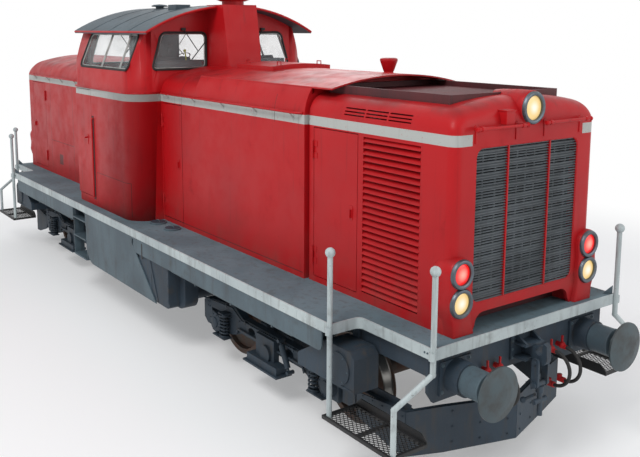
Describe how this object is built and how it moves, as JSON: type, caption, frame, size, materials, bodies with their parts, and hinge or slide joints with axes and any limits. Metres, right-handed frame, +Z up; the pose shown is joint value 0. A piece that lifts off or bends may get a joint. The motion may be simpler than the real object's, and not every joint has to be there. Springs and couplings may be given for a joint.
{
  "type": "diesel locomotive",
  "caption": "Centre-cab diesel locomotive on bogies: long radiator hood in front, short hood behind, raised cab, walkways with corner posts, buffers and screw coupling",
  "frame": {"origin": "under the middle of the locomotive, at the lowest points of the wheel flanges", "axes": "X forward along the long hood, Y to the left, Z up; the rail top is 28 mm above the origin"},
  "size_m": [12.1, 3.31, 4.43],
  "materials": {
    "red_paint": "gloss paint, weathered",
    "well_paint": "matt primer, dirty",
    "deck_paint": "matt anti-slip paint",
    "rim_paint": "worn satin paint",
    "frame_paint": "satin paint, dusty",
    "underframe_paint": "matt paint, brake dust",
    "wheel_steel": "turned steel with brake dust",
    "buffer_steel": "greased steel",
    "bright_steel": "satin metal",
    "grille_steel": "dull paint",
    "step_iron": "matt black",
    "hose_rubber": "matt",
    "roof_paint": "matt paint, sooty",
    "window_glass": "clear",
    "red_glass": "clear red lens",
    "white_glass": "pale yellow lens",
    "cab_grey": "satin grey",
    "engine_iron": "painted casting"
  },
  "bodies": {
    "loco": {"deck": "deck_paint", "deck_rim": "rim_paint", "main_frame": "underframe_paint", "side_valances": "frame_paint", "fuel_tank": "underframe_paint", "cab_steps": "frame_paint", "end_steps": "step_iron", "handrail_posts": "rim_paint", "buffer_sleeves": "underframe_paint", "buffer_heads": "buffer_steel", "draw_gear": "underframe_paint", "brake_cocks": "red_paint", "brake_hoses": "hose_rubber", "sandboxes": "underframe_paint", "radiator_hood": "red_paint", "engine_hood": "red_paint", "rear_hood": "red_paint", "engine_block": "engine_iron", "radiator_grille": "grille_steel", "side_louvres": "red_paint", "fan_coaming": "well_paint", "hood_fittings": "red_paint", "lamp_housings": "red_paint", "lamp_rings": "bright_steel", "red_lenses": "red_glass", "white_lenses": "white_glass", "cab_shell": "red_paint", "cab_roof": "roof_paint", "cab_glass": "window_glass", "cab_interior": "cab_grey", "exhaust_stack": "red_paint"},
    "bogie_front": {"bogie_frame_front": "underframe_paint", "running_gear_front": "underframe_paint", "rail_guard_front": "underframe_paint"},
    "bogie_rear": {"bogie_frame_rear": "underframe_paint", "running_gear_rear": "underframe_paint", "rail_guard_rear": "underframe_paint"},
    "wheels_1": {"wheelset_1": "wheel_steel"},
    "wheels_2": {"wheelset_2": "wheel_steel"},
    "wheels_3": {"wheelset_3": "wheel_steel"},
    "wheels_4": {"wheelset_4": "wheel_steel"},
    "fan": {"cooling_fan": "bright_steel"},
    "cab_door_l": {"cab_door_left": "red_paint"},
    "cab_door_r": {"cab_door_right": "red_paint"},
    "engine_door_l": {"engine_door_left": "red_paint"},
    "engine_door_r": {"engine_door_right": "red_paint"},
    "radiator_door_l": {"radiator_door_left": "red_paint"},
    "radiator_door_r": {"radiator_door_right": "red_paint"},
    "rear_door_l": {"rear_door_left": "red_paint"},
    "rear_door_r": {"rear_door_right": "red_paint"}
  },
  "joints": [
    {"name": "bogie_front_swivel", "type": "hinge", "parent": "loco", "child": "bogie_front", "pos_m": [3, 0, 0.64], "axis": [0, 0, 1], "range_deg": [-3.5, 3.5]},
    {"name": "bogie_rear_swivel", "type": "hinge", "parent": "loco", "child": "bogie_rear", "pos_m": [-3, 0, 0.64], "axis": [0, 0, 1], "range_deg": [-3.5, 3.5]},
    {"name": "axle_1", "type": "hinge", "parent": "bogie_front", "child": "wheels_1", "pos_m": [4.1, 0, 0.503], "axis": [0, 1, 0], "continuous": true},
    {"name": "axle_2", "type": "hinge", "parent": "bogie_front", "child": "wheels_2", "pos_m": [1.9, 0, 0.503], "axis": [0, 1, 0], "continuous": true},
    {"name": "axle_3", "type": "hinge", "parent": "bogie_rear", "child": "wheels_3", "pos_m": [-1.9, 0, 0.503], "axis": [0, 1, 0], "continuous": true},
    {"name": "axle_4", "type": "hinge", "parent": "bogie_rear", "child": "wheels_4", "pos_m": [-4.1, 0, 0.503], "axis": [0, 1, 0], "continuous": true},
    {"name": "fan_shaft", "type": "hinge", "parent": "loco", "child": "fan", "pos_m": [4.38, 0, 3.25], "axis": [0, 0, 1], "continuous": true},
    {"name": "engine_door_left_hinge", "type": "hinge", "parent": "loco", "child": "engine_door_l", "pos_m": [0.215, 1, 2.25], "axis": [0, 0, 1], "range_deg": [0, 90]},
    {"name": "engine_door_right_hinge", "type": "hinge", "parent": "loco", "child": "engine_door_r", "pos_m": [0.215, -1, 2.25], "axis": [0, 0, -1], "range_deg": [0, 90]},
    {"name": "radiator_door_left_hinge", "type": "hinge", "parent": "loco", "child": "radiator_door_l", "pos_m": [3.58, 0.96, 2.25], "axis": [0, 0, 1], "range_deg": [0, 105]},
    {"name": "radiator_door_right_hinge", "type": "hinge", "parent": "loco", "child": "radiator_door_r", "pos_m": [3.58, -0.96, 2.25], "axis": [0, 0, -1], "range_deg": [0, 105]},
    {"name": "rear_door_left_hinge", "type": "hinge", "parent": "loco", "child": "rear_door_l", "pos_m": [-4.561, 1.016, 2.25], "axis": [0, 0, -1], "range_deg": [0, 70]},
    {"name": "rear_door_right_hinge", "type": "hinge", "parent": "loco", "child": "rear_door_r", "pos_m": [-4.561, -1.016, 2.25], "axis": [0, 0, 1], "range_deg": [0, 70]},
    {"name": "cab_door_left_hinge", "type": "hinge", "parent": "loco", "child": "cab_door_l", "pos_m": [-1.838, 1.368, 2.3], "axis": [0, 0, -1], "range_deg": [0, 85]},
    {"name": "cab_door_right_hinge", "type": "hinge", "parent": "loco", "child": "cab_door_r", "pos_m": [-1.838, -1.368, 2.3], "axis": [0, 0, 1], "range_deg": [0, 85]}
  ]
}
